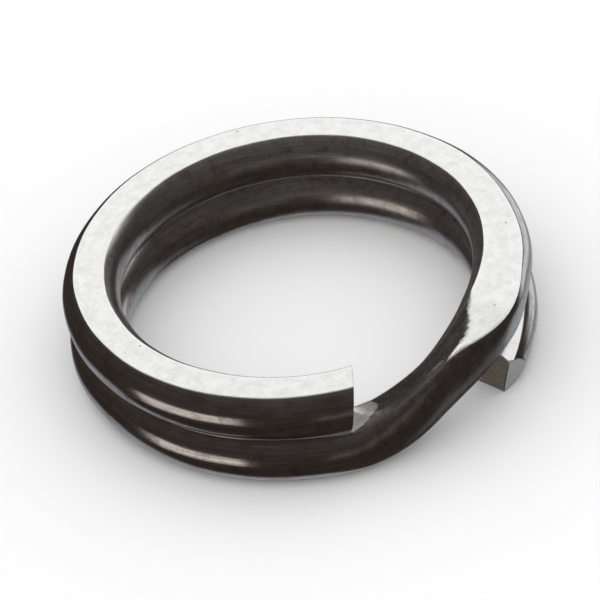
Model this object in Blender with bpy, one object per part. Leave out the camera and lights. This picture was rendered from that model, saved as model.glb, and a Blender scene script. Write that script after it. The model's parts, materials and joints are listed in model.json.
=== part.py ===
"""Split key ring: one spring-steel wire wound into two close turns that lie flat on each other.

The ring lies on its lower turn. +Z is the ring's axis and the origin is on that axis, in the
plane that the ring rests on. Places along the wire are wire angles, in degrees from the cut end
of the upper turn, following the wire clockwise as seen from above, past the crossover where it
steps down, and round the lower turn to its own cut end.

The wire bends and twists along its whole length when a turn is prised up. It is therefore made
as short stretches with a hairline between them. Each stretch has its origin on the wire's middle
line, where it meets the stretch before it, and hangs from that stretch in one chain that starts
at the end of the lower turn.
"""

from math import cos, pi, radians, sin

import bmesh
import bpy
from mathutils import Vector

# Driving dimensions of the ring, in metres
RING_DIAMETER = 0.0250  # over the bulging outer side
RING_HEIGHT = 0.00552  # both turns, closed
TURN_GAP = 0.0001  # clearance between the closed turns
FLAT_WIDTH = 0.00162  # ground flat on the top and on the underside of the wire
OUTER_BULGE = 0.00076  # how far the outer side stands out past the flats
INNER_BULGE = 0.00070  # the same on the inner side
STRETCH_GAP = 0.00006  # hairline between neighbouring stretches

# The wire's course, in degrees
UPPER_TIP_DIRECTION = -79.0  # plan direction of the upper cut end, anticlockwise from +X
WIRE_LENGTH = 676.5
TIP_LENGTH = 18.0
CROSSOVER_START = 315.0
CROSSOVER_END = 362.0
CROSSOVER_LEAD = 0.85  # below 1, the step down starts more briskly than it ends
CROSSOVER_TWIST = 5.0  # the inner edge of the top starts down this much earlier than the wire
OUTER_STEP_START = 330.0  # and its outer edge stays up until here
OUTER_STEP_END = 366.0
FLAT_END_MIDDLE = 324.5  # the crossover leaves the upper turn's flat slantwise, inner edge first
FLAT_END_REACH = 10.0
CROWN = 1.4  # above 1, the top of the crossover is crowned
STRETCHES_PER_TURN = 10

# The pressed places, where the bench tools left their mark
CROSSOVER_FLARE = 0.00080  # the top's outer edge is squeezed outward at the crossover
FLARE_MIDDLE = 322.0
FLARE_REACH = 62.0
OUTER_SWELL = (0.00043, 318.0, 21.0)  # how far a side is moved outward, the middle, the reach
INNER_SWAY = (0.00018, 320.0, 24.0)
INNER_SWELL = (-0.00020, 350.0, 18.0)
TIP_SPLAY = 0.00050  # the lower tip stands outward of its turn
TIP_FLARE = 0.00066
TIP_TILT = 0.00050  # how much lower the lower tip's top is at its outer edge
SPLAY_REACH = 46.0

# The sheared ends: turned about +Z from square, and leaning from upright, in degrees
UPPER_CUT_SKEW = -13.6
UPPER_CUT_LEAN = -8.0
LOWER_CUT_SKEW = -8.6
LOWER_CUT_LEAN = 0.0
CORNER_DIRECTION = -50.0  # plan direction that the lower tip's outer corner facet faces
CORNER_LEAN = -14.3
CORNER_DISTANCE = 0.01252  # from the ring's axis to the facet, at the top of the lower turn

# Fineness of the faceted solids
ARC_FACETS = 6
FACET_STEP = 5.0

# What follows from the driving dimensions
TURN_HEIGHT = (RING_HEIGHT - TURN_GAP) / 2
TURN_PITCH = TURN_HEIGHT + TURN_GAP
FLAT_OUTER_RADIUS = RING_DIAMETER / 2 - OUTER_BULGE
FLAT_INNER_RADIUS = FLAT_OUTER_RADIUS - FLAT_WIDTH
WIRE_RADIUS = (FLAT_OUTER_RADIUS + OUTER_BULGE + FLAT_INNER_RADIUS - INNER_BULGE) / 2

STEEL_COLOUR = (0.62, 0.61, 0.60, 1.0)
STEEL_ROUGHNESS = 0.22


def eased(t):
    """0 before 0, 1 after 1, and a smooth step between."""
    t = min(max(t, 0.0), 1.0)
    return t * t * (3 - 2 * t)


def step_down(angle):
    """How far the wire has come down from the upper turn at a wire angle."""
    t = (angle - CROSSOVER_START) / (CROSSOVER_END - CROSSOVER_START)
    return TURN_PITCH * eased(max(t, 0.0) ** CROSSOVER_LEAD)


def underside(angle):
    return TURN_PITCH - step_down(angle)


def tip_share(angle):
    """0 along the ring, and growing to 1 at the end of the lower turn."""
    return max(angle - WIRE_LENGTH + SPLAY_REACH, 0.0) ** 2 / SPLAY_REACH**2


def top(angle, side):
    """Height of the top at its inner edge (side -1), its middle (0) or its outer edge (1)."""
    inner = step_down(angle + CROSSOVER_TWIST)
    outer = eased((angle - OUTER_STEP_START) / (OUTER_STEP_END - OUTER_STEP_START)) * TURN_PITCH
    flat_end = min(max((angle - FLAT_END_MIDDLE) / FLAT_END_REACH, -1.0), 1.0)
    share = max(flat_end - side, 0.0) / max(flat_end + 1, 0.001)
    drop = outer + (inner - outer) * share**CROWN
    tilt = TIP_TILT * tip_share(angle) ** 0.5 * max(side - 0.1, 0.0) / 0.9
    return TURN_PITCH + TURN_HEIGHT - drop - tilt


def swell(angle, most, middle, reach):
    """A smooth bump along the wire."""
    return most * eased(1 - abs(angle - middle) / reach)


def flare(angle):
    """How far the top's outer edge is squeezed outward."""
    crossover = swell(angle, CROSSOVER_FLARE, FLARE_MIDDLE, FLARE_REACH)
    return crossover + TIP_FLARE * tip_share(angle)


def plan_direction(angle):
    return radians(UPPER_TIP_DIRECTION - angle)


def place(angle, radius, height):
    """The point at a wire angle, at a distance from the ring's axis and a height."""
    turned = plan_direction(angle)
    return Vector((radius * cos(turned), radius * sin(turned), height))


def middle_of_wire(angle):
    height = (underside(angle) + (top(angle, -1) + top(angle, 1)) / 2) / 2
    return place(angle, WIRE_RADIUS + TIP_SPLAY * tip_share(angle), height)


def bulge_arc(bulge):
    """Points of one bulging side, as (share of the height, distance out), bottom to top.

    The side is one circular arc through the edges of the two flats.
    """
    half = TURN_HEIGHT / 2
    radius = (half**2 + bulge**2) / (2 * bulge)
    centre = bulge - radius
    points = []
    for i in range(ARC_FACETS + 1):
        height = half * sin(pi * (i / ARC_FACETS - 0.5))
        points.append((height / TURN_HEIGHT + 0.5, centre + (radius**2 - height**2) ** 0.5))
    return points


def section(angle):
    """The wire's outline at a wire angle: up the outer side and down the inner side."""
    splay = TIP_SPLAY * tip_share(angle)
    outer_edge = FLAT_OUTER_RADIUS + splay + swell(angle, *OUTER_SWELL)
    sway = swell(angle, *INNER_SWAY) + swell(angle, *INNER_SWELL)
    inner_edge = FLAT_INNER_RADIUS + splay + sway
    low = underside(angle)
    points = []
    for share, out in bulge_arc(OUTER_BULGE):
        radius = outer_edge + out + flare(angle) * share**3
        points.append(place(angle, radius, low + share * (top(angle, 1) - low)))
    middle = (inner_edge + outer_edge + flare(angle)) / 2
    points.append(place(angle, middle, top(angle, 0)))
    for share, out in reversed(bulge_arc(INNER_BULGE)):
        points.append(place(angle, inner_edge - out, low + share * (top(angle, -1) - low)))
    return points


def swept_wire(start, end):
    """The closed solid of the wire between two wire angles, extruded section by section."""
    steps = max(1, round((end - start) / FACET_STEP))
    bm = bmesh.new()
    first_corners = [bm.verts.new(point) for point in section(start)]
    face = bm.faces.new(first_corners)
    for i in range(1, steps + 1):
        face = bmesh.ops.extrude_discrete_faces(bm, faces=[face])["faces"][0]
        for corner, point in zip(face.verts, section(start + (end - start) * i / steps)):
            corner.co = point
    bm.faces.new(first_corners)
    return bm


def cut_off(bm, point, direction, lean):
    """Cuts away what lies beyond a plane through a point, and closes the cut.

    direction is the plan direction that the cut face looks in and lean its tilt up from level.
    """
    flat = cos(radians(lean))
    normal = Vector(
        (flat * cos(radians(direction)), flat * sin(radians(direction)), sin(radians(lean)))
    )
    geometry = bm.verts[:] + bm.edges[:] + bm.faces[:]
    cut = bmesh.ops.bisect_plane(
        bm, geom=geometry, plane_co=point, plane_no=normal, clear_outer=True
    )["geom_cut"]
    edges = [item for item in cut if isinstance(item, bmesh.types.BMEdge)]
    bmesh.ops.holes_fill(bm, edges=edges, sides=0)


def steel(name):
    material = bpy.data.materials.new(name + "_steel")
    material.use_nodes = True
    shader = material.node_tree.nodes["Principled BSDF"]
    shader.inputs["Base Color"].default_value = STEEL_COLOUR
    shader.inputs["Metallic"].default_value = 1.0
    shader.inputs["Roughness"].default_value = STEEL_ROUGHNESS
    return material


def finish_piece(name, bm, origin_angle, parent):
    """Turns a solid into a named object with its origin on the wire's middle line."""
    origin = middle_of_wire(origin_angle)
    bmesh.ops.triangulate(bm, faces=bm.faces[:])
    bmesh.ops.recalc_face_normals(bm, faces=bm.faces[:])
    bmesh.ops.translate(bm, verts=bm.verts[:], vec=-origin)
    mesh = bpy.data.meshes.new(name)
    bm.to_mesh(mesh)
    bm.free()
    mesh.shade_smooth()
    mesh.set_sharp_from_angle(angle=radians(35))
    mesh.materials.append(steel(name))
    piece = bpy.data.objects.new(name, mesh)
    bpy.context.collection.objects.link(piece)
    piece.location = origin
    if parent:
        piece.parent = parent[0]
        piece.location = origin - parent[1]
    return piece, origin


def make_upper_tip(name, start, end, parent):
    """The sheared end of the upper turn: its face looks back along the wire."""
    bm = swept_wire(start - TIP_LENGTH / 3, end)
    facing = UPPER_TIP_DIRECTION + 90 + UPPER_CUT_SKEW
    point = place(start, WIRE_RADIUS, RING_HEIGHT)
    cut_off(bm, point, facing, UPPER_CUT_LEAN)
    return finish_piece(name, bm, end, parent)


def make_lower_tip(name, start, end):
    """The sheared end of the lower turn, with a facet where the outer corner was pressed."""
    bm = swept_wire(start, end + TIP_LENGTH / 3)
    direction = UPPER_TIP_DIRECTION - end
    cut_off(bm, middle_of_wire(end), direction - 90 + LOWER_CUT_SKEW, LOWER_CUT_LEAN)
    outward = radians(CORNER_DIRECTION)
    corner = CORNER_DISTANCE * Vector((cos(outward), sin(outward), 0))
    corner.z = TURN_HEIGHT
    cut_off(bm, corner, CORNER_DIRECTION, CORNER_LEAN)
    return finish_piece(name, bm, start, None)


def stretch_ends(first, last):
    """The wire angles that divide the run between two angles into equal stretches."""
    step = (last - first) / STRETCHES_PER_TURN
    return [first + step * i for i in range(STRETCHES_PER_TURN + 1)]


def make_ring():
    """All the stretches, from the end of the lower turn up to the end of the upper turn."""
    half_gap = STRETCH_GAP / WIRE_RADIUS / 2 * 180 / pi
    lower = stretch_ends(WIRE_LENGTH - TIP_LENGTH, CROSSOVER_END)
    upper = stretch_ends(CROSSOVER_START, TIP_LENGTH)
    previous = make_lower_tip("lower_tip", lower[0] + half_gap, WIRE_LENGTH)
    runs = [
        (f"lower_turn_{i + 1:02d}", lower[i + 1], lower[i]) for i in range(STRETCHES_PER_TURN)
    ]
    runs.append(("crossover", upper[0], lower[-1]))
    runs += [
        (f"upper_turn_{i + 1:02d}", upper[i + 1], upper[i]) for i in range(STRETCHES_PER_TURN)
    ]
    for name, start, end in runs:
        bm = swept_wire(start + half_gap, end - half_gap)
        previous = finish_piece(name, bm, end, previous)
    make_upper_tip("upper_tip", 0.0, upper[-1] - half_gap, previous)


for old in list(bpy.data.objects):
    bpy.data.objects.remove(old, do_unlink=True)
make_ring()
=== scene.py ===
"""The looks of the split key ring: a polished spring-steel wire, wound in two turns.

Each joint of the frame is one place where the wire flexes. A visual piece runs from the middle of
the body on one side of a joint to the middle of the body on the other side, across the joint, so
that the row of pieces reads as one unbroken wire at rest.

Wire angles are degrees along the wire, counted from the cut end of the upper turn, clockwise as
seen from above. Lengths are in metres.
"""

import json
import math

import bpy
import numpy as np
from mathutils import Matrix, Vector

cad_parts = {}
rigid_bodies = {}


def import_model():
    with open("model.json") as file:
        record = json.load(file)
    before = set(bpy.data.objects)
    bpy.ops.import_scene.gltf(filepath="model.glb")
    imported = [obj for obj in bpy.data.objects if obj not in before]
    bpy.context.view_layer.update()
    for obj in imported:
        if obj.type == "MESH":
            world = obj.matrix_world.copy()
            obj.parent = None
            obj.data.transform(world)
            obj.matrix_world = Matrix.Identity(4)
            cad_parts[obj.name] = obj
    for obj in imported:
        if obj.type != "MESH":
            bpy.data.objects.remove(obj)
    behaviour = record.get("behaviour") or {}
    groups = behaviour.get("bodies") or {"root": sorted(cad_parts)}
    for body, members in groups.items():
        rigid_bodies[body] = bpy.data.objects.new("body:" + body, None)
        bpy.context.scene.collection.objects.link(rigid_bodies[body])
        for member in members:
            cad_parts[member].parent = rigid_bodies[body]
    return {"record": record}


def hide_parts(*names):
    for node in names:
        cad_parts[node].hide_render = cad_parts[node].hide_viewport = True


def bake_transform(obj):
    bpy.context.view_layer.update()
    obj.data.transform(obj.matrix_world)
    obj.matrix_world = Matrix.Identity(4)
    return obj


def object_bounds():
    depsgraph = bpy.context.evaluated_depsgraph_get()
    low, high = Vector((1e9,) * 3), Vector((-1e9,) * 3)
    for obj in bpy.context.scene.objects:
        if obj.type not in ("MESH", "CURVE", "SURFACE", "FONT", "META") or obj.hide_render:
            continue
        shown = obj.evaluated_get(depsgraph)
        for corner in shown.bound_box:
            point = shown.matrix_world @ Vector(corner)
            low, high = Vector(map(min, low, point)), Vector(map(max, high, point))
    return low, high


# The wire's section and course, as in the frame's design
FLAT_WIDTH = 0.00162
OUTER_BULGE = 0.00076
INNER_BULGE = 0.00070
TURN_GAP = 0.0001
TIP_LENGTH = 18.0
CROSSOVER_START = 315.0
CROSSOVER_END = 362.0
CROSSOVER_LEAD = 0.85
CROSSOVER_TWIST = 5.0
OUTER_STEP_START = 330.0
OUTER_STEP_END = 366.0
CROWN = 1.4
CROSSOVER_FLARE = 0.00080
FLARE_MIDDLE = 322.0
FLARE_REACH = 62.0
FLARE_POWER = 3
TIP_SPLAY = 0.00050
TIP_FLARE = 0.00066
TIP_TILT = 0.00050
TILT_START = 0.1
SPLAY_REACH = 46.0
UPPER_CUT_SKEW = -13.6
UPPER_CUT_LEAN = -8.0
LOWER_CUT_SKEW = -8.6
LOWER_CUT_LEAN = 0.0
CORNER_DIRECTION = -50.0
CORNER_LEAN = -14.3
CORNER_DISTANCE = 0.01252
CORNER_MARGIN = 0.000004
LEAST_SLOPE = 0.2

# Where the crossover is squeezed wider, as (how far, middle, reach) with the last two in degrees
OUTER_SWELL = (0.00043, 318.0, 21.0)
INNER_SWAY = (0.00018, 320.0, 24.0)
INNER_SWELL = (-0.00020, 350.0, 18.0)

# The end of the ground flat on the upper turn: wire angles, and the sides that it has reached
FLAT_END_ANGLES = (309.5, 318.5, 321.5, 327.0, 335.5, 340.0)
FLAT_END_SIDES = (-1.0, -0.6, -0.18, 0.385, 1.0, 1.5)
FLAT_END_FADE = 0.35

# The start of the ground flat on the lower turn: the wire angle and the side of its foremost
# point, and how many degrees it falls back beside that point and towards the outer edge
LOWER_FLAT_START = 352.5
LOWER_FLAT_NOSE = -0.4
LOWER_FLAT_CURVE = 3.0
LOWER_FLAT_OUTER = 2.5
LOWER_FLAT_FADE = 3.0

# Where the crossover's underside is not ground, and over how many degrees it changes
UNDERSIDE_DRAWN = (318.0, 366.0)
UNDERSIDE_FADE = 14.0

# Where the bench tool pressed the crossover, and over how many degrees its marks begin and end
PRESSED = (311.0, 370.0)
PRESSED_FADES = (9.0, 18.0)

# How much nearer the turns' facing flats come than in the frame, which keeps a wider clearance
CLOSER = 0.00003

# Fineness of the visual meshes
ANGLE_STEP = 0.6
TIP_ANGLE_STEP = 0.2
LEAST_STEPS = 8
SIDE_STEPS = 22
FLAT_STEPS = 12
EDGE_ROUNDING = 0.000035
WORN_EDGE = 0.00004
DRAWN_EDGE = 0.00042
CUT_ROUNDS = 6
CUT_STEP = 0.1

# The wire's small irregularities: the flats' edges wander from true circles in waves, each as
# (radians of wave per radian of wire, share of EDGE_WANDER, share of the phase)
EDGE_WANDER = 0.000022
EDGE_WAVES = ((3.1, 1.0, 1.0), (7.3, 0.6, 2.1), (17.7, 0.35, 3.7))
OUTER_PHASE = 0.4
INNER_PHASE = 2.9

# Wear of the four edges between flats and sides, as (points away from the edge, how much)
EDGE_WEAR = ((0, 1.0), (1, 0.8), (2, 0.35))

# Unit of the texture coordinates: millimetres
PER_METRE = 1000

# Colours of the steel
GROUND_LIGHT = (0.87, 0.87, 0.86, 1)
GROUND_DULL = (0.745, 0.745, 0.745, 1)
DRAWN_LIGHT = (0.60, 0.585, 0.57, 1)
DRAWN_DARK = (0.40, 0.375, 0.355, 1)
PRESSED_DARK = (0.42, 0.41, 0.40, 1)
STAIN = (0.30, 0.235, 0.205, 1)
PORE = (0.22, 0.20, 0.18, 1)
TORN_DARK = (0.26, 0.22, 0.19, 1)
TORN_LIGHT = (0.46, 0.42, 0.38, 1)

# Tumbling left the flats a fine satin, which scatters part of the light, and so do the cut faces
SATIN_METALLIC = 0.74
SHEARED_METALLIC = 0.85

# Depth of the steel's relief in metres
POLISHED_RELIEF = 0.0000016
SHEARED_RELIEF = 0.000012

# The camera: its angles in degrees, its lens in millimetres, and its aim to the right of the
# ring's centre and below it
CAMERA_ELEVATION = 38.47
CAMERA_ROLL = 8.21
CAMERA_DISTANCE = 0.2228
CAMERA_LENS = 253.8
CAMERA_CLIP = 0.005
AIM_RIGHT = 0.000345
AIM_DOWN = 0.00251

# The studio's soft lights as the polished steel reflects them: azimuth from straight back,
# positive to the right, elevation, half-width, half-height and edge softness, all in degrees,
# and brightness
SOFTBOXES = [
    (20.0, 34.0, 50.0, 11.5, 2.5, (1.09, 1.09, 1.08)),
    (44.0, 44.0, 22.0, 10.0, 3.0, (1.09, 1.09, 1.08)),
    (-121.0, -18.0, 23.0, 12.0, 2.0, (0.98, 0.93, 0.88)),
    (168.0, -16.0, 24.0, 8.0, 8.0, (0.13, 0.115, 0.10)),
    (-28.0, -64.0, 44.0, 30.0, 4.0, (0.37, 0.385, 0.425)),
    (42.0, -41.0, 27.0, 11.0, 5.0, (0.44, 0.46, 0.49)),
    (77.0, -57.0, 14.0, 9.0, 4.0, (0.16, 0.165, 0.175)),
    (38.0, -12.0, 18.0, 14.0, 6.0, (0.95, 0.98, 1.02)),
]
ROOM = (0.047, 0.037, 0.032, 1)

# The sky that lights the floor: its brightness, and its share at the horizon
OVERHEAD = 1.43
HORIZON_SHARE = 0.52

FLOOR_SIZE = 6.0
FLOOR_COLOUR = (0.93, 0.93, 0.93, 1)
FLOOR_GAP = 0.00002


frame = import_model()
cad_low, cad_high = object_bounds()
joints = frame["record"]["behaviour"]["joints"]

# What the frame says about the ring
RING_RADIUS = -cad_low.x - EDGE_WANDER * sum(size for _, size, _ in EDGE_WAVES)
RING_HEIGHT = cad_high.z - cad_low.z
TURN_HEIGHT = (RING_HEIGHT - TURN_GAP) / 2
TURN_PITCH = TURN_HEIGHT + TURN_GAP
FLAT_OUTER = RING_RADIUS - OUTER_BULGE
FLAT_INNER = FLAT_OUTER - FLAT_WIDTH
WIRE_RADIUS = (RING_RADIUS + FLAT_INNER - INNER_BULGE) / 2

# Points of the section's outline: on each side, on each flat, and all of them
SIDE_COUNT = SIDE_STEPS + 1
FLAT_COUNT = FLAT_STEPS - 1
RING_COUNT = 2 * (SIDE_COUNT + FLAT_COUNT)
CORNERS = [0, SIDE_COUNT - 1, SIDE_COUNT + FLAT_COUNT, 2 * SIDE_COUNT + FLAT_COUNT - 1]


def chain_from_root():
    """The joints in order along the wire, from the end of the lower turn to the upper one's."""
    by_parent = {j["parent"]: j for j in joints}
    children = {j["child"] for j in joints}
    body = next(name for name in by_parent if name not in children)
    chain = []
    while body in by_parent:
        chain.append(by_parent[body])
        body = by_parent[body]["child"]
    return chain


def joint_angles(chain):
    """The wire angle of each joint. The last joint is one tip's length from the upper cut end."""
    directions = [math.degrees(math.atan2(j["pos_m"][1], j["pos_m"][0])) for j in chain]
    angles = [TIP_LENGTH]
    for here, outward in zip(reversed(directions[:-1]), reversed(directions[1:])):
        angles.append(angles[-1] + (outward - here) % 360)
    return angles[::-1], directions[-1] + TIP_LENGTH


CHAIN = chain_from_root()
JOINT_ANGLES, UPPER_TIP_DIRECTION = joint_angles(CHAIN)
WIRE_LENGTH = JOINT_ANGLES[0] + TIP_LENGTH


def eased(t):
    """Rises smoothly from 0 to 1 as t does."""
    t = np.clip(t, 0.0, 1.0)
    return t * t * (3 - 2 * t)


def step_down(angle):
    """How far the crossover has brought the wire down."""
    t = np.maximum((angle - CROSSOVER_START) / (CROSSOVER_END - CROSSOVER_START), 0.0)
    return TURN_PITCH * eased(t**CROSSOVER_LEAD)


def down_share(angle):
    """0 on the upper turn and 1 on the lower one."""
    return step_down(angle) / TURN_PITCH


def underside(angle):
    """Height of the underside."""
    return TURN_PITCH - step_down(angle) - CLOSER * (1 - down_share(angle))


def flat_end(angle):
    """The side up to which the crossover has left the upper turn's ground flat."""
    return np.interp(angle, FLAT_END_ANGLES, FLAT_END_SIDES)


def top(angle, side):
    """Height of the top at its inner edge (side -1), its outer edge (1) or between."""
    inner = step_down(angle + CROSSOVER_TWIST)
    outer = eased((angle - OUTER_STEP_START) / (OUTER_STEP_END - OUTER_STEP_START))
    outer = TURN_PITCH * outer
    edge = np.minimum(flat_end(angle), 1.0)
    share = np.maximum(edge - side, 0.0) / np.maximum(edge + 1, 1e-6)
    drop = outer + (inner - outer) * share**CROWN
    tilted = np.maximum(side - TILT_START, 0.0) / (1 - TILT_START)
    tilt = TIP_TILT * tip_share(angle) ** 0.5 * tilted
    return TURN_PITCH + TURN_HEIGHT - drop - tilt + CLOSER * drop / TURN_PITCH


def left_as_drawn(angle, side):
    """0 where the top is ground flat, and 1 where the crossover's top is still round."""
    begun = eased((flat_end(angle) - side) / FLAT_END_FADE)
    end = LOWER_FLAT_START + LOWER_FLAT_CURVE * (side - LOWER_FLAT_NOSE) ** 2
    end = end + LOWER_FLAT_OUTER * np.maximum(side, 0.0)
    return begun * (1 - eased((angle - end) / LOWER_FLAT_FADE))


def underside_as_drawn(angle):
    """0 where the underside is ground flat, and 1 where the crossover's is still round."""
    start, end = UNDERSIDE_DRAWN
    return eased((angle - start) / UNDERSIDE_FADE) * eased((end - angle) / UNDERSIDE_FADE)


def tip_share(angle):
    """How far the lower cut end's splay, flare and tilt have come, from 0 to 1."""
    return np.maximum(angle - WIRE_LENGTH + SPLAY_REACH, 0.0) ** 2 / SPLAY_REACH**2


def swell(angle, most, middle, reach):
    """A smooth hump along the wire."""
    return most * eased(1 - np.abs(angle - middle) / reach)


def flare(angle):
    """How far the top of the outer side leans out."""
    crossover = swell(angle, CROSSOVER_FLARE, FLARE_MIDDLE, FLARE_REACH)
    return crossover + TIP_FLARE * tip_share(angle)


def wander(angle, phase):
    """The ground flat's edges are not quite true circles."""
    along = np.radians(angle)
    waves = (size * np.sin(rate * along + shift * phase) for rate, size, shift in EDGE_WAVES)
    return EDGE_WANDER * sum(waves)


def clustered(steps):
    """Shares from 0 to 1 that lie closer together near both ends."""
    return 0.5 - 0.5 * np.cos(np.pi * np.arange(steps + 1) / steps)


def bulge_out(share, bulge):
    """How far a side stands out past the flat's edge, at a share of its height."""
    half = TURN_HEIGHT / 2
    radius = (half**2 + bulge**2) / (2 * bulge)
    height = (share - 0.5) * TURN_HEIGHT
    return bulge - radius + np.sqrt(radius**2 - height**2)


def section(angle):
    """The outline at each wire angle of an array: radii and heights, one row for each angle.

    It goes up the outer side, in across the top, down the inner side and out underneath.
    """
    angle = np.atleast_1d(angle)[:, None]
    splay = TIP_SPLAY * tip_share(angle)
    low = underside(angle)
    up = clustered(SIDE_STEPS)[None, :]
    across = clustered(FLAT_STEPS)[None, 1:-1]
    outer_edge = FLAT_OUTER + splay + wander(angle, OUTER_PHASE) + swell(angle, *OUTER_SWELL)
    inner_edge = FLAT_INNER + splay + wander(angle, INNER_PHASE) + swell(angle, *INNER_SWAY)
    inner_edge = inner_edge + swell(angle, *INNER_SWELL)
    outer_r = outer_edge + bulge_out(up, OUTER_BULGE) + flare(angle) * up**FLARE_POWER
    outer_z = low + up * (top(angle, 1) - low)
    down = 1 - up
    inner_r = inner_edge - bulge_out(down, INNER_BULGE)
    inner_z = low + down * (top(angle, -1) - low)
    top_r = outer_r[:, -1:] + across * (inner_edge - outer_r[:, -1:])
    top_z = top(angle, 1 - 2 * across)
    under_r = inner_edge + across * (outer_edge - inner_edge)
    under_z = low + 0 * across
    outline = np.stack([np.concatenate([outer_r, top_r, inner_r, under_r], axis=1),
                        np.concatenate([outer_z, top_z, inner_z, under_z], axis=1)], axis=-1)
    reach = WORN_EDGE + DRAWN_EDGE * as_drawn(angle)
    for i, points in enumerate(outline):
        outline[i] = mean_within(points, reach[i])
    return outline[..., 0], outline[..., 1]


def as_drawn(angle):
    """For each point of the outline, 1 where the wire is still round and 0 where it is ground."""
    up = clustered(SIDE_STEPS)[None, :]
    sides = 1 - 2 * clustered(FLAT_STEPS)[None, 1:-1]
    under = underside_as_drawn(angle)
    outer = under + up * (left_as_drawn(angle, 1.0) - under)
    inner = under + (1 - up) * (left_as_drawn(angle, -1.0) - under)
    across = left_as_drawn(angle, sides)
    return np.concatenate([outer, across, inner, under + 0 * sides], axis=1)


def mean_within(points, reach):
    """A closed outline with each point moved to the mean of the outline within its reach."""
    count = len(points)
    loop = np.concatenate([points, points, points, points[:1]])
    steps = np.linalg.norm(np.diff(loop, axis=0), axis=1)
    along = np.concatenate([[0.0], np.cumsum(steps)])
    pieces = (loop[1:] + loop[:-1]) / 2 * steps[:, None]
    total = np.concatenate([[[0.0, 0.0]], np.cumsum(pieces, axis=0)])

    def up_to(length):
        k = np.clip(np.searchsorted(along, length) - 1, 0, len(steps) - 1)
        part = (length - along[k])[:, None]
        here = loop[k] + part * (loop[k + 1] - loop[k]) / steps[k][:, None]
        return total[k] + part * (loop[k] + here) / 2

    at = along[count : 2 * count]
    return (up_to(at + reach) - up_to(at - reach)) / (2 * reach[:, None])


def place(angle, radius, height):
    """Points in the frame from wire angles, radii and heights."""
    turned = np.radians(UPPER_TIP_DIRECTION - angle)
    return np.stack([radius * np.cos(turned), radius * np.sin(turned), height + 0 * radius], -1)


def middle_of_wire(angle):
    """The middle of the section at a wire angle."""
    height = (underside(angle) + top(angle, 0.0)) / 2
    radius = WIRE_RADIUS + TIP_SPLAY * tip_share(angle)
    return Vector([float(x) for x in place(angle, radius, height)])


def plane_normal(direction, lean):
    """The normal of a plane that faces a direction and leans up, both in degrees."""
    turned, risen = math.radians(direction), math.radians(lean)
    level = math.cos(risen)
    return np.array([level * math.cos(turned), level * math.sin(turned), math.sin(risen)])


def angles_on_cut(angle, point, normal):
    """For each point of the outline, the wire angle at which it meets a cut's plane.

    Newton's method, with the slope taken over CUT_STEP degrees.
    """
    found = np.full(RING_COUNT, float(angle))
    for _ in range(CUT_ROUNDS):
        radii, heights = (x[np.arange(RING_COUNT), np.arange(RING_COUNT)] for x in section(found))
        gap = (place(found, radii, heights) - point) @ normal
        ahead = place(found + CUT_STEP, radii, heights)
        found -= gap / (((ahead - point) @ normal - gap) / CUT_STEP)
    return found


def beyond_corner(points):
    """How far points lie beyond the plane of the lower tip's corner facet."""
    outward = math.radians(CORNER_DIRECTION)
    corner = np.array([math.cos(outward), math.sin(outward), 0]) * CORNER_DISTANCE
    corner[2] = TURN_HEIGHT
    return (points - corner) @ plane_normal(CORNER_DIRECTION, CORNER_LEAN)


def pressed_corner(points):
    """Points beyond the lower tip's corner facet are pushed back onto it, towards the axis."""
    normal = plane_normal(CORNER_DIRECTION, CORNER_LEAN)
    beyond = np.maximum(beyond_corner(points), 0.0)
    inward = points * [1, 1, 0]
    inward = inward / np.linalg.norm(inward, axis=-1, keepdims=True)
    along = np.maximum(inward @ normal, LEAST_SLOPE)
    return points - inward * (beyond / along)[..., None]


def wire_points(rows):
    """Points of the outline where row i, point k is at the wire angle rows[i, k]."""
    if np.ptp(rows, axis=1).max() < 1e-9:
        return place(rows, *section(rows[:, 0]))
    out = np.zeros(rows.shape + (3,))
    for k in range(RING_COUNT):
        radii, heights = section(rows[:, k])
        out[:, k] = place(rows[:, k], radii[:, k], heights[:, k])
    return out


def smooth_normals(grid):
    """Normals of a grid of points that closes round the outline, its end rows left out."""
    around = np.roll(grid, -1, axis=1) - grid
    along = grid[1:] - grid[:-1]
    face = np.cross(around[:-1], along)
    face /= np.linalg.norm(face, axis=2, keepdims=True)
    corner = face + np.roll(face, 1, axis=1)
    normals = corner[1:] + corner[:-1]
    return normals / np.linalg.norm(normals, axis=2, keepdims=True)


def rounded_end(grid, normals):
    """Rings that carry the outline round the edge of a cut face, at the end of a grid."""
    before, last = grid[-2], grid[-1]
    ahead = last - before
    ahead /= np.linalg.norm(ahead, axis=1, keepdims=True)
    base = last - ahead * EDGE_ROUNDING
    rings = [base]
    for turn in np.radians([30, 60, 90]):
        out = ahead * math.sin(turn) - normals * (1 - math.cos(turn))
        rings.append(base + EDGE_ROUNDING * out)
    return rings


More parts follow.
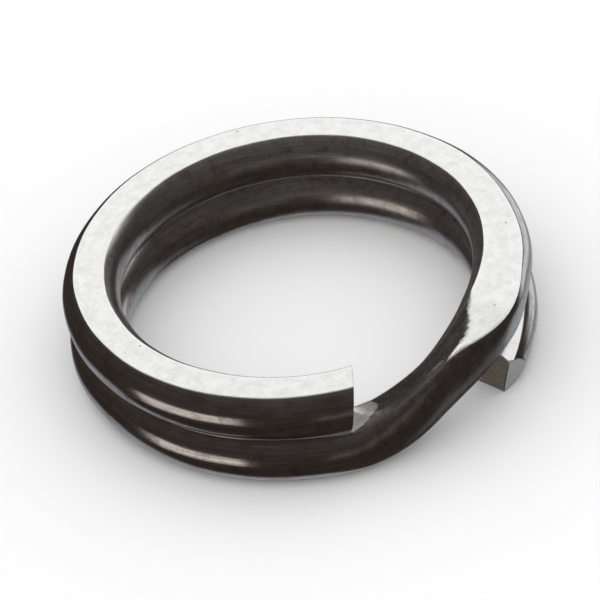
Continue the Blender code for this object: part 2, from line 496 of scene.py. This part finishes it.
def wire_grid(low, high, low_cut=None, high_cut=None):
    """The grid of points, its normals and its wire angles between two wire angles.

    A cut is (point, normal, press): the plane of a sheared end, and what is done to the points.
    """
    step = TIP_ANGLE_STEP if low_cut or high_cut else ANGLE_STEP
    count = max(LEAST_STEPS, round((high - low) / step))
    start = angles_on_cut(low, *low_cut[:2]) if low_cut else np.full(RING_COUNT, float(low))
    end = angles_on_cut(high, *high_cut[:2]) if high_cut else np.full(RING_COUNT, float(high))
    share = np.linspace(-1, count + 1, count + 3)[:, None] / count
    rows = start + share * (end - start)
    points = wire_points(rows)
    if high_cut and high_cut[2]:
        points = high_cut[2](points)
    normals = smooth_normals(points)
    points, rows = points[1:-1], rows[1:-1]
    if high_cut:
        rings = rounded_end(points, normals[-1])
        points = np.concatenate([points[:-1], rings])
        rows = np.concatenate([rows[:-1], [rows[-1]] * len(rings)])
    if low_cut:
        rings = rounded_end(points[::-1], normals[0])[::-1]
        points = np.concatenate([rings, points[1:]])
        rows = np.concatenate([[rows[0]] * len(rings), rows[1:]])
    if high_cut or low_cut:
        normals = end_normals(points, normals, low_cut, high_cut)
    return points, normals, rows


def end_normals(points, inner, low_cut, high_cut):
    """Normals of a grid with a rounded end: the free end's own, and the seam's as before."""
    first = [2 * points[0] - points[1]]
    last = [2 * points[-1] - points[-2]]
    normals = smooth_normals(np.concatenate([first, points, last]))
    if high_cut:
        normals[0] = inner[0]
    if low_cut:
        normals[-1] = inner[-1]
    return normals


def perimeter(points):
    """Distance round the outline to each of its points, and all the way round."""
    ring = points[len(points) // 2]
    lengths = np.linalg.norm(np.roll(ring, -1, axis=0) - ring, axis=1)
    return np.concatenate([[0.0], np.cumsum(lengths)])


def ground_share(grid, rows):
    """1 for points on the ground flats and the facet, 0 on the sides and the crossover."""
    ground = np.zeros(RING_COUNT)
    ground[SIDE_COUNT - 1 : SIDE_COUNT + FLAT_COUNT + 1] = 1
    ground[2 * SIDE_COUNT + FLAT_COUNT - 1 :] = 1
    ground[0] = 1
    ground = ground * (1 - as_drawn(rows[:, :1]))
    on_facet = (beyond_corner(grid) > -CORNER_MARGIN) & (rows > WIRE_LENGTH - TIP_LENGTH)
    return np.where(on_facet, 1.0, ground)


def on_edge():
    """1 at the four edges between flats and sides, falling to 0 over the nearest points."""
    edge = np.zeros(RING_COUNT)
    for corner in CORNERS:
        for away, value in EDGE_WEAR:
            for k in (corner - away, corner + away):
                edge[k % RING_COUNT] = max(edge[k % RING_COUNT], value)
    return edge


def on_inner_side():
    """1 on the inner side, which the tumbling hardly reached."""
    inner = np.zeros(RING_COUNT)
    inner[SIDE_COUNT + FLAT_COUNT : 2 * SIDE_COUNT + FLAT_COUNT] = 1
    return inner


def pressed_share(rows):
    """1 where the bench tool pressed the crossover, and 0 along the rest of the wire."""
    start, end = PRESSED
    begins, ends = PRESSED_FADES
    return eased((rows - start) / begins) * eased((end - rows) / ends)


def make_piece(name, grid, normals, rows, cut_low, cut_high):
    """A closed mesh of one run of the wire, with its ends capped."""
    count, around = grid.shape[:2]
    lengths = perimeter(grid) * PER_METRE
    along = np.radians(rows) * WIRE_RADIUS * PER_METRE
    faces, uvs, loop_normals, materials = [], [], [], []
    for i in range(count - 1):
        for k in range(around):
            k2 = (k + 1) % around
            corners = ((i, k, k), (i, k2, k + 1), (i + 1, k2, k + 1), (i + 1, k, k))
            faces.append([r * around + c for r, c, _ in corners])
            uvs += [(along[r, c], lengths[w]) for r, c, w in corners]
            loop_normals += [normals[r, c] for r, c, _ in corners]
            materials.append(0)
    for row, order, cut in ((0, -1, cut_low), (count - 1, 1, cut_high)):
        ring = list(range(around))[::order]
        faces.append([row * around + k for k in ring])
        points = grid[row]
        flat = np.cross(points[ring[around // 3]] - points[ring[0]],
                        points[ring[2 * around // 3]] - points[ring[0]])
        flat /= np.linalg.norm(flat)
        uvs += [(np.hypot(*points[k][:2]) * PER_METRE, points[k][2] * PER_METRE) for k in ring]
        loop_normals += [flat] * around
        materials.append(1 if cut else 0)
    mesh = bpy.data.meshes.new(name)
    mesh.from_pydata(grid.reshape(-1, 3).tolist(), [], faces)
    mesh.polygons.foreach_set("material_index", materials)
    mesh.polygons.foreach_set("use_smooth", [True] * len(faces))
    layer = mesh.uv_layers.new(name="wire")
    layer.data.foreach_set("uv", np.array(uvs, np.float32).ravel())
    shares = {
        "ground": ground_share(grid, rows),
        "edge": np.broadcast_to(on_edge(), rows.shape),
        "inner": np.broadcast_to(on_inner_side(), rows.shape),
        "pressed": pressed_share(rows),
    }
    for key, values in shares.items():
        attribute = mesh.attributes.new(key, "FLOAT", "POINT")
        attribute.data.foreach_set("value", np.ascontiguousarray(values, np.float32).ravel())
    mesh.normals_split_custom_set([tuple(n) for n in loop_normals])
    mesh.update()
    piece = bpy.data.objects.new(name, mesh)
    bpy.context.scene.collection.objects.link(piece)
    return piece


class Graph:
    """Short calls for building a node tree."""

    def __init__(self, tree):
        self.tree = tree
        tree.nodes.clear()

    def add(self, kind, inputs=None, output=0, **settings):
        node = self.tree.nodes.new(kind)
        for key, value in settings.items():
            setattr(node, key, value)
        for key, value in (inputs or {}).items():
            if isinstance(value, bpy.types.NodeSocket):
                self.tree.links.new(value, node.inputs[key])
            else:
                node.inputs[key].default_value = value
        return node.outputs[output]

    def math(self, operation, a, b=0.0, c=0.0):
        return self.add("ShaderNodeMath", {0: a, 1: b, 2: c}, operation=operation)

    def remap(self, value, low, high, to_low=0.0, to_high=1.0):
        inputs = {"Value": value, 1: low, 2: high, 3: to_low, 4: to_high}
        return self.add("ShaderNodeMapRange", inputs, interpolation_type="SMOOTHSTEP")

    def mix_colour(self, factor, a, b):
        return self.add("ShaderNodeMix", {0: factor, 6: a, 7: b}, output=2, data_type="RGBA")

    def grey(self, value):
        return self.add("ShaderNodeCombineColor", {0: value, 1: value, 2: value})

    def mix(self, factor, a, b):
        return self.add("ShaderNodeMix", {0: factor, 2: a, 3: b}, data_type="FLOAT")

    def scaled(self, vector, x, y):
        return self.add("ShaderNodeMapping", {"Vector": vector, "Scale": (x, y, 1.0)})

    def noise(self, vector, scale, detail=2.0, rough=0.5):
        inputs = {"Vector": vector, "Scale": scale, "Detail": detail, "Roughness": rough}
        return self.add("ShaderNodeTexNoise", inputs)

    def attribute(self, name):
        return self.add("ShaderNodeAttribute", output=2, attribute_name=name)

    def finish(self, shader, kind="ShaderNodeOutputMaterial"):
        output = self.tree.nodes.new(kind)
        self.tree.links.new(shader, output.inputs["Surface"])


def new_material(name):
    material = bpy.data.materials.new(name)
    material.use_nodes = True
    return material, Graph(material.node_tree)


def finish_steel(g, colour, metallic, roughness, height, depth):
    """A surface from its colour, share of clean metal and roughness, and its relief's depth."""
    bump = g.add("ShaderNodeBump", {"Strength": 1.0, "Distance": depth, "Height": height})
    inputs = {"Base Color": colour, "Metallic": metallic, "Roughness": roughness, "Normal": bump}
    g.finish(g.add("ShaderNodeBsdfPrincipled", inputs))


def polished_steel():
    """Drawn sides with fine lines along the wire, and flats ground and tumbled to a satin."""
    material, g = new_material("polished_steel")
    uv = g.add("ShaderNodeUVMap", uv_map="wire")
    shares = ("ground", "edge", "inner", "pressed")
    ground, edge, inner, pressed = (g.attribute(name) for name in shares)
    lines = g.noise(g.scaled(uv, 0.25, 11.0), 1.0, 4.0, 0.6)
    fine_lines = g.noise(g.scaled(uv, 0.9, 42.0), 1.0, 2.0, 0.5)
    cloud = g.noise(uv, 0.55, 4.0, 0.62)
    grain = g.noise(uv, 14.0, 3.0, 0.6)
    speckle = g.noise(uv, 4.2, 3.0, 0.6)
    cells = g.add("ShaderNodeTexVoronoi", {"Vector": uv, "Scale": 1.15}, output=0)
    rare = g.remap(g.noise(uv, 0.9, 1.0), 0.56, 0.62)
    pores = g.math("MULTIPLY", g.remap(cells, 0.045, 0.085, 1.0, 0.0), rare)
    specks = g.math("MULTIPLY", g.remap(g.noise(uv, 2.6, 4.0, 0.6), 0.5, 0.7), pressed)
    drawn = g.mix_colour(g.remap(lines, 0.35, 0.68), DRAWN_DARK, DRAWN_LIGHT)
    drawn = g.mix_colour(g.math("MULTIPLY", pressed, 0.6), drawn, PRESSED_DARK)
    mottle = g.math("MULTIPLY_ADD", g.noise(uv, 1.3, 6.0, 0.68), 0.7, g.math("MULTIPLY", grain, 0.3))
    stain = g.remap(g.noise(uv, 1.1, 6.0, 0.72), 0.46, 0.66, 0.0, 0.75)
    drawn = g.mix_colour(stain, drawn, STAIN)
    satin = g.mix_colour(g.remap(mottle, 0.36, 0.62), GROUND_DULL, GROUND_LIGHT)
    ragged = g.math("MULTIPLY_ADD", g.noise(uv, 3.2, 5.0, 0.7), 0.9, -0.45)
    ground = g.remap(g.math("ADD", ground, ragged), 0.40, 0.62)
    colour = g.mix_colour(ground, drawn, satin)
    colour = g.mix_colour(g.math("MULTIPLY", edge, 0.5), colour, GROUND_LIGHT)
    colour = g.mix_colour(g.math("MULTIPLY", pores, 0.8), colour, PORE)
    rough_side = g.math("MULTIPLY_ADD", inner, 0.13, g.mix(cloud, 0.10, 0.24))
    rough_flat = g.mix(speckle, 0.12, 0.26)
    roughness = g.mix(ground, rough_side, rough_flat)
    roughness = g.math("ADD", roughness, g.math("MULTIPLY", pressed, 0.06))
    roughness = g.math("ADD", roughness, g.math("MULTIPLY", specks, 0.10))
    side_height = g.mix(0.35, lines, fine_lines)
    flat_height = g.math("MULTIPLY", g.mix(0.55, grain, speckle), 0.45)
    height = g.mix(ground, side_height, flat_height)
    dents = g.math("MULTIPLY", g.noise(uv, 2.4, 4.0, 0.65), g.math("MULTIPLY", pressed, 9.0))
    height = g.math("ADD", height, dents)
    height = g.math("SUBTRACT", height, g.math("MULTIPLY", pores, 3.0))
    metallic = g.mix(ground, 1.0, SATIN_METALLIC)
    finish_steel(g, colour, metallic, roughness, height, POLISHED_RELIEF)
    return material


def sheared_steel():
    """A cut face: shear lines run across it, and its lower part is torn and duller."""
    material, g = new_material("sheared_steel")
    uv = g.add("ShaderNodeUVMap", uv_map="wire")
    lines = g.noise(g.scaled(uv, 16.0, 0.8), 1.0, 4.0, 0.6)
    torn = g.noise(uv, 6.0, 6.0, 0.7)
    colour = g.mix_colour(g.remap(torn, 0.35, 0.7), TORN_DARK, TORN_LIGHT)
    roughness = g.mix(torn, 0.28, 0.52)
    height = g.mix(0.5, lines, torn)
    finish_steel(g, colour, SHEARED_METALLIC, roughness, height, SHEARED_RELIEF)
    return material


def cut_planes():
    """The two sheared ends, as (point on the plane, its normal, what presses the points)."""
    upper_facing = UPPER_TIP_DIRECTION + 90 + UPPER_CUT_SKEW
    upper_point = place(0.0, WIRE_RADIUS, RING_HEIGHT)
    upper = (upper_point, plane_normal(upper_facing, UPPER_CUT_LEAN), None)
    lower_facing = UPPER_TIP_DIRECTION - WIRE_LENGTH - 90 + LOWER_CUT_SKEW
    lower_point = np.array(middle_of_wire(WIRE_LENGTH))
    lower = (lower_point, plane_normal(lower_facing, LOWER_CUT_LEAN), pressed_corner)
    return upper, lower


def make_wire():
    """All the visual pieces, one across each joint, in order from the lower cut end."""
    steel, sheared = polished_steel(), sheared_steel()
    upper_cut, lower_cut = cut_planes()
    bounds = [WIRE_LENGTH, *JOINT_ANGLES, 0.0]
    middles = [(a + b) / 2 for a, b in zip(bounds, bounds[1:])]
    last = len(CHAIN) - 1
    for k, joint in enumerate(CHAIN):
        high = WIRE_LENGTH if k == 0 else middles[k]
        low = 0.0 if k == last else middles[k + 1]
        cuts = (upper_cut if k == last else None, lower_cut if k == 0 else None)
        grid, normals, rows = wire_grid(low, high, *cuts)
        name = f"{joint['parent']}_to_{joint['child']}"
        piece = make_piece(name, grid, normals, rows, bool(cuts[0]), bool(cuts[1]))
        piece.data.materials.append(steel)
        piece.data.materials.append(sheared)
        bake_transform(piece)
        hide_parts(joint["parent"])
        if k == last:
            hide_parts(joint["child"])


def make_camera():
    """A camera in front of the ring and above it, rolled a little."""
    rise, roll = math.radians(CAMERA_ELEVATION), math.radians(CAMERA_ROLL)
    back = Vector((0, -math.cos(rise), math.sin(rise)))
    level, upward = Vector((1, 0, 0)), Vector((0, math.sin(rise), math.cos(rise)))
    right = math.cos(roll) * level - math.sin(roll) * upward
    up = math.sin(roll) * level + math.cos(roll) * upward
    centre = Vector((0, 0, RING_HEIGHT))
    stand = centre + CAMERA_DISTANCE * back
    aim = centre + AIM_RIGHT * right - AIM_DOWN * up
    z = (stand - aim).normalized()
    x = up.cross(z).normalized()
    rotation = Matrix((x, z.cross(x), z)).transposed().to_4x4()
    data = bpy.data.cameras.new("camera")
    data.lens = CAMERA_LENS
    data.clip_start = CAMERA_CLIP
    camera = bpy.data.objects.new("camera", data)
    camera.matrix_world = Matrix.Translation(stand) @ rotation
    bpy.context.scene.collection.objects.link(camera)
    bpy.context.scene.camera = camera


def make_studio():
    """Soft light all round for the floor, and softboxes for the steel to reflect."""
    world = bpy.data.worlds.new("studio")
    bpy.context.scene.world = world
    world.use_nodes = True
    g = Graph(world.node_tree)
    parts = g.tree.nodes.new("ShaderNodeSeparateXYZ")
    g.tree.links.new(g.add("ShaderNodeTexCoord", output=0), parts.inputs[0])
    azimuth = g.math("ARCTAN2", parts.outputs[0], parts.outputs[1])
    azimuth = g.math("MULTIPLY", azimuth, 180 / math.pi)
    elevation = g.math("MULTIPLY", g.math("ARCSINE", parts.outputs[2]), 180 / math.pi)
    colour = ROOM
    for centre_az, centre_el, half_az, half_el, soft, light in SOFTBOXES:
        off_az = g.math("ABSOLUTE", g.math("SUBTRACT", azimuth, centre_az))
        off_el = g.math("ABSOLUTE", g.math("SUBTRACT", elevation, centre_el))
        wide = g.remap(off_az, half_az - soft, half_az + soft, 1.0, 0.0)
        tall = g.remap(off_el, half_el - soft, half_el + soft, 1.0, 0.0)
        colour = g.mix_colour(g.math("MULTIPLY", wide, tall), colour, (*light, 1))
    path = g.tree.nodes.new("ShaderNodeLightPath")
    upward = g.math("MAXIMUM", parts.outputs[2], 0.0)
    upward = g.math("MULTIPLY", upward, upward)
    sky = g.math("MULTIPLY_ADD", upward, 1 - HORIZON_SHARE, HORIZON_SHARE)
    sky = g.math("MULTIPLY", sky, OVERHEAD)
    seen = g.mix_colour(path.outputs["Is Glossy Ray"], g.grey(sky), colour)
    background = g.add("ShaderNodeBackground", {"Color": seen, "Strength": 1.0})
    g.finish(background, "ShaderNodeOutputWorld")


def make_floor():
    """A plain pale floor just below the ring, which the steel doesn't reflect."""
    material, g = new_material("pale_floor")
    inputs = {"Base Color": FLOOR_COLOUR, "Roughness": 0.9, "Specular IOR Level": 0.0}
    g.finish(g.add("ShaderNodeBsdfPrincipled", inputs))
    half = FLOOR_SIZE / 2
    level = cad_low.z - FLOOR_GAP
    corners = [(-half, -half), (half, -half), (half, half), (-half, half)]
    mesh = bpy.data.meshes.new("floor")
    mesh.from_pydata([(x, y, level) for x, y in corners], [], [(0, 1, 2, 3)])
    mesh.materials.append(material)
    floor = bpy.data.objects.new("floor", mesh)
    floor.visible_glossy = False
    bpy.context.scene.collection.objects.link(floor)


make_wire()
make_camera()
make_studio()
make_floor()
bpy.context.scene.view_settings.view_transform = "Standard"
